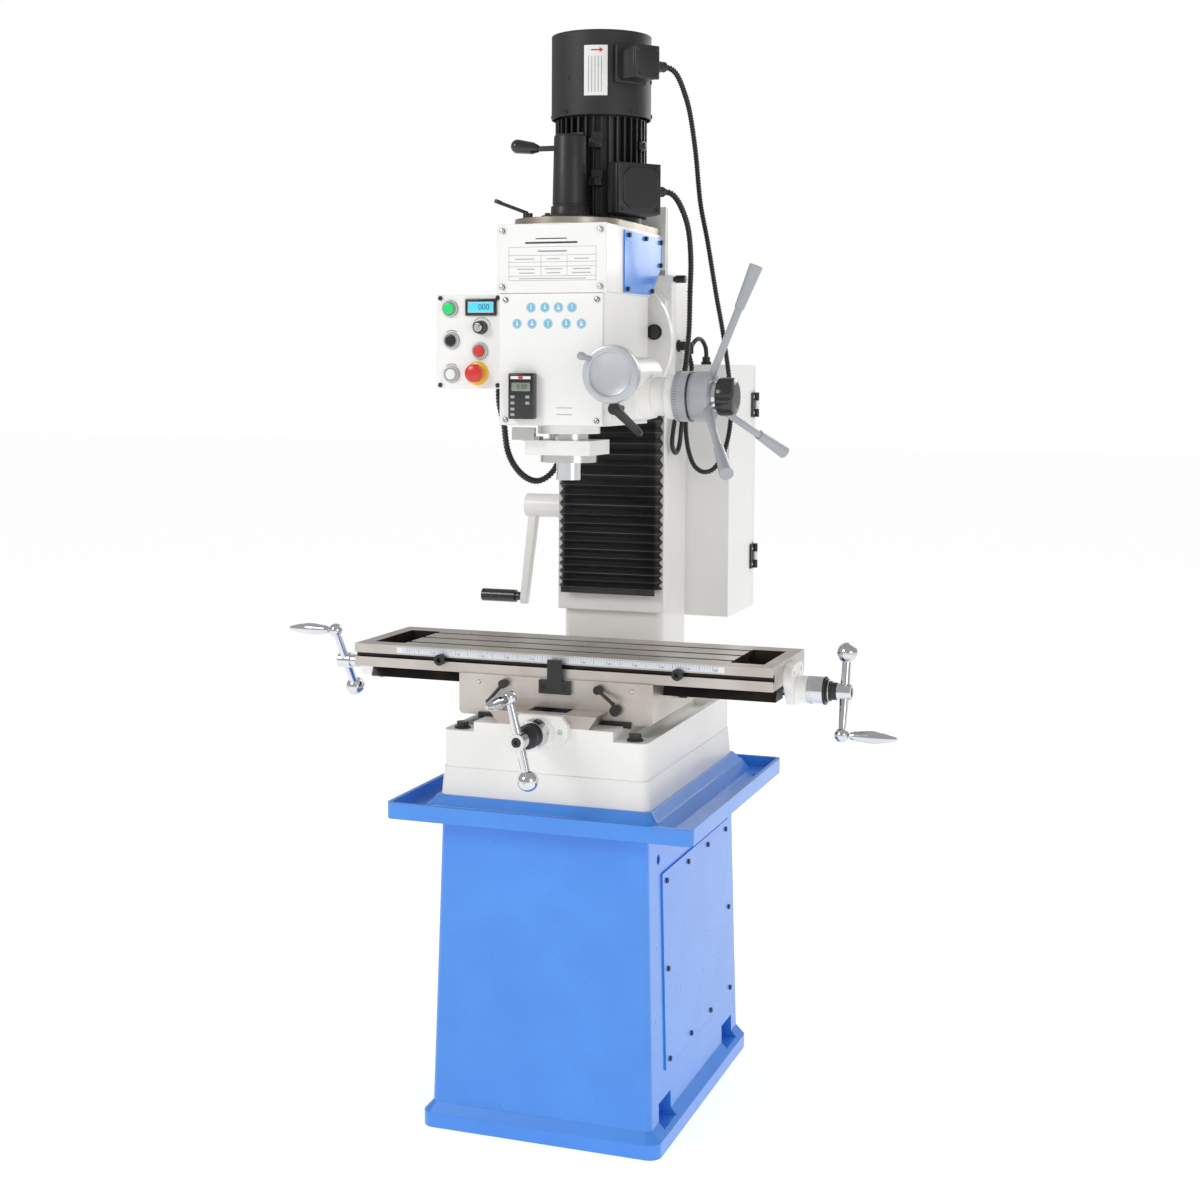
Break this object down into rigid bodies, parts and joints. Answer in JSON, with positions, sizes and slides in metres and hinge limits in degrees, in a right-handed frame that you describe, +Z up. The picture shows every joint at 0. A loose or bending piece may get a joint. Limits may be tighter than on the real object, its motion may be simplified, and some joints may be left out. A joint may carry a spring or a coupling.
{
  "type": "vertical milling machine",
  "caption": "Vertical knee-less milling machine on a sheet-metal stand, with a T-slot table on a cross slide, a tilting motor head on a square column and a quill downfeed.",
  "frame": {"origin": "centre of the four floor-bolt holes, on the floor", "axes": "+Z up, +X to the operator's right, +Y to the back"},
  "size_m": [1.204, 0.972, 2.033],
  "materials": {
    "blue_paint": "satin",
    "cream_paint": "satin",
    "ground_iron": "ground and oiled",
    "bare_steel": "turned",
    "chrome": "polished",
    "motor_paint": "semi-gloss",
    "black_oxide": "matt",
    "black_plastic": "moulded",
    "black_rubber": "matt",
    "cover_cloth": "coated",
    "grey_plastic": "moulded",
    "green_plastic": "moulded",
    "red_plastic": "moulded",
    "white_plastic": "moulded",
    "aluminium": "satin"
  },
  "bodies": {
    "root": {"stand": "blue_paint", "chip_tray": "blue_paint", "access_panel": "blue_paint", "base_hardware": "black_oxide", "base_casting": "cream_paint", "y_flange": "cream_paint", "column": "cream_paint", "column_ways": "ground_iron", "bellows": "cover_cloth", "e_box": "cream_paint", "fan_conduit": "black_rubber", "motor_conduit": "black_rubber", "signal_cable": "black_rubber"},
    "y_screw": {"y_handle": "chrome"},
    "y_grip": {"y_grip": "chrome"},
    "z_crank": {"z_crank": "cream_paint"},
    "z_grip": {"z_grip": "black_plastic"},
    "cabinet_door": {"e_box_door": "cream_paint"},
    "saddle": {"saddle": "ground_iron", "pointer_block": "black_oxide", "scale_reader": "black_plastic"},
    "table_lock_left": {"table_lock_left": "black_oxide"},
    "table_lock_right": {"table_lock_right": "black_oxide"},
    "gib_knob": {"gib_knob": "black_oxide"},
    "table": {"table": "ground_iron", "rule_strip": "aluminium", "end_brackets": "cream_paint"},
    "stop_left": {"stop_left": "black_oxide"},
    "stop_right": {"stop_right": "black_oxide"},
    "x_screw": {"x_handle_right": "chrome", "x_handle_left": "chrome"},
    "x_grip_right": {"x_grip_right": "chrome"},
    "x_grip_left": {"x_grip_left": "chrome"},
    "carriage": {"carriage": "cream_paint"},
    "z_lock": {"z_lock": "black_oxide"},
    "head": {"head_body": "cream_paint", "side_cover": "blue_paint", "head_plates": "cream_paint", "head_hardware": "black_oxide", "drawbar_cap": "black_plastic", "motor_body": "motor_paint", "fan_cowl": "motor_paint", "terminal_boxes": "motor_paint", "control_box": "cream_paint", "quill_readout": "black_plastic", "panel_conduit": "black_rubber"},
    "gear_lever": {"gear_lever": "black_oxide"},
    "spindle_lock": {"spindle_lock": "black_plastic"},
    "start_button": {"start_button": "green_plastic"},
    "forward_button": {"forward_button": "black_plastic"},
    "stop_button": {"stop_button": "red_plastic"},
    "reverse_button": {"reverse_button": "white_plastic"},
    "estop": {"estop": "red_plastic"},
    "speed_knob": {"speed_knob": "black_plastic"},
    "fine_wheel": {"fine_wheel": "grey_plastic"},
    "quill_lock": {"quill_lock": "black_oxide"},
    "capstan": {"capstan": "grey_plastic"},
    "clutch_knob": {"clutch_knob": "black_plastic"},
    "quill": {"quill": "bare_steel"},
    "spindle": {"spindle": "chrome"}
  },
  "joints": [
    {"name": "y_screw_turn", "type": "hinge", "parent": "root", "child": "y_screw", "pos_m": [0, -0.395, 0.757], "axis": [0, 1, 0], "range_deg": [-20162, 10082]},
    {"name": "saddle_slide", "type": "slide", "parent": "root", "child": "saddle", "axis": [0, 1, 0], "range_m": [-0.14, 0.07]},
    {"name": "y_grip_spin", "type": "hinge", "parent": "y_screw", "child": "y_grip", "pos_m": [-0.01887, -0.43, 0.83268], "axis": [0, 1, 0], "continuous": true},
    {"name": "z_crank_turn", "type": "hinge", "parent": "root", "child": "z_crank", "pos_m": [-0.17, 0.16, 1.128], "axis": [1, 0, 0], "continuous": true},
    {"name": "head_height", "type": "slide", "parent": "root", "child": "carriage", "axis": [0, 0, 1], "range_m": [-0.23, 0.1], "deforming": ["bellows", "fan_conduit", "motor_conduit"]},
    {"name": "z_grip_spin", "type": "hinge", "parent": "z_crank", "child": "z_grip", "pos_m": [-0.26, 0.16, 0.938], "axis": [1, 0, 0], "continuous": true},
    {"name": "cabinet_door_hinge", "type": "hinge", "parent": "root", "child": "cabinet_door", "pos_m": [0.199, 0.459, 1.17], "axis": [0, 0, 1], "range_deg": [-110, 0]},
    {"name": "table_slide", "type": "slide", "parent": "saddle", "child": "table", "axis": [1, 0, 0], "range_m": [-0.205, 0.205]},
    {"name": "x_screw_turn", "type": "hinge", "parent": "table", "child": "x_screw", "pos_m": [0.513, -0.098, 0.828], "axis": [1, 0, 0], "range_deg": [-29522, 29522]},
    {"name": "x_grip_right_spin", "type": "hinge", "parent": "x_screw", "child": "x_grip_right", "pos_m": [0.56, -0.11819, 0.75266], "axis": [1, 0, 0], "continuous": true},
    {"name": "x_grip_left_spin", "type": "hinge", "parent": "x_screw", "child": "x_grip_left", "pos_m": [-0.54, -0.14162, 0.89267], "axis": [1, 0, 0], "continuous": true},
    {"name": "table_lock_left_turn", "type": "hinge", "parent": "saddle", "child": "table_lock_left", "pos_m": [-0.098, -0.23, 0.826], "axis": [0, 1, 0], "range_deg": [0, 50]},
    {"name": "table_lock_right_turn", "type": "hinge", "parent": "saddle", "child": "table_lock_right", "pos_m": [0.088, -0.23, 0.826], "axis": [0, 1, 0], "range_deg": [-50, 20]},
    {"name": "gib_knob_turn", "type": "hinge", "parent": "saddle", "child": "gib_knob", "pos_m": [0.121, -0.23, 0.79], "axis": [0, 1, 0], "range_deg": [-180, 180]},
    {"name": "stop_left_slide", "type": "slide", "parent": "table", "child": "stop_left", "axis": [1, 0, 0], "range_m": [-0.15, 0.19]},
    {"name": "stop_right_slide", "type": "slide", "parent": "table", "child": "stop_right", "axis": [1, 0, 0], "range_m": [-0.2, 0.15]},
    {"name": "z_lock_turn", "type": "hinge", "parent": "carriage", "child": "z_lock", "pos_m": [0.14, 0.097, 1.583], "axis": [1, 0, 0], "range_deg": [-90, 90]},
    {"name": "head_tilt", "type": "hinge", "parent": "carriage", "child": "head", "pos_m": [0, 0.047, 1.46], "axis": [0, 1, 0], "range_deg": [-45, 40]},
    {"name": "gear_lever_turn", "type": "hinge", "parent": "head", "child": "gear_lever", "pos_m": [-0.068, -0.19, 1.685], "axis": [0, 0, 1], "range_deg": [-35, 35]},
    {"name": "spindle_lock_push", "type": "slide", "parent": "head", "child": "spindle_lock", "axis": [1, 0, 0], "range_m": [-0.006, 0.006]},
    {"name": "start_push", "type": "slide", "parent": "head", "child": "start_button", "axis": [0, 1, 0], "range_m": [0, 0.004], "stiffness_N_per_m": 300},
    {"name": "forward_push", "type": "slide", "parent": "head", "child": "forward_button", "axis": [0, 1, 0], "range_m": [0, 0.004], "stiffness_N_per_m": 300},
    {"name": "stop_push", "type": "slide", "parent": "head", "child": "stop_button", "axis": [0, 1, 0], "range_m": [0, 0.004], "stiffness_N_per_m": 300},
    {"name": "reverse_push", "type": "slide", "parent": "head", "child": "reverse_button", "axis": [0, 1, 0], "range_m": [0, 0.004], "stiffness_N_per_m": 300},
    {"name": "estop_push", "type": "slide", "parent": "head", "child": "estop", "axis": [0, 1, 0], "range_m": [0, 0.006], "stiffness_N_per_m": 300},
    {"name": "speed_knob_turn", "type": "hinge", "parent": "head", "child": "speed_knob", "pos_m": [-0.146, -0.23, 1.482], "axis": [0, 1, 0], "range_deg": [0, 270]},
    {"name": "fine_feed_turn", "type": "hinge", "parent": "head", "child": "fine_wheel", "pos_m": [0.13, -0.288, 1.398], "axis": [0, 1, 0], "continuous": true},
    {"name": "quill_lock_turn", "type": "hinge", "parent": "head", "child": "quill_lock", "pos_m": [0.13, -0.268, 1.337], "axis": [0, 1, 0], "range_deg": [-35, 30]},
    {"name": "capstan_turn", "type": "hinge", "parent": "head", "child": "capstan", "pos_m": [0.252, -0.13, 1.358], "axis": [1, 0, 0], "range_deg": [0, 458.37]},
    {"name": "clutch_knob_turn", "type": "hinge", "parent": "capstan", "child": "clutch_knob", "pos_m": [0.3, -0.13, 1.358], "axis": [1, 0, 0], "range_deg": [-90, 90]},
    {"name": "quill_slide", "type": "slide", "parent": "head", "child": "quill", "axis": [0, 0, -1], "range_m": [0, 0.12]},
    {"name": "spindle_turn", "type": "hinge", "parent": "quill", "child": "spindle", "pos_m": [0, -0.152, 1.3], "axis": [0, 0, 1], "continuous": true}
  ],
  "couplings": [
    {"joint": "y_screw_turn", "follows": "saddle_slide", "rad_per_m": 2513.3},
    {"joint": "table_slide", "follows": "x_screw_turn", "m_per_rad": 0.00039789},
    {"joint": "quill_slide", "follows": "capstan_turn", "m_per_rad": 0.015}
  ]
}
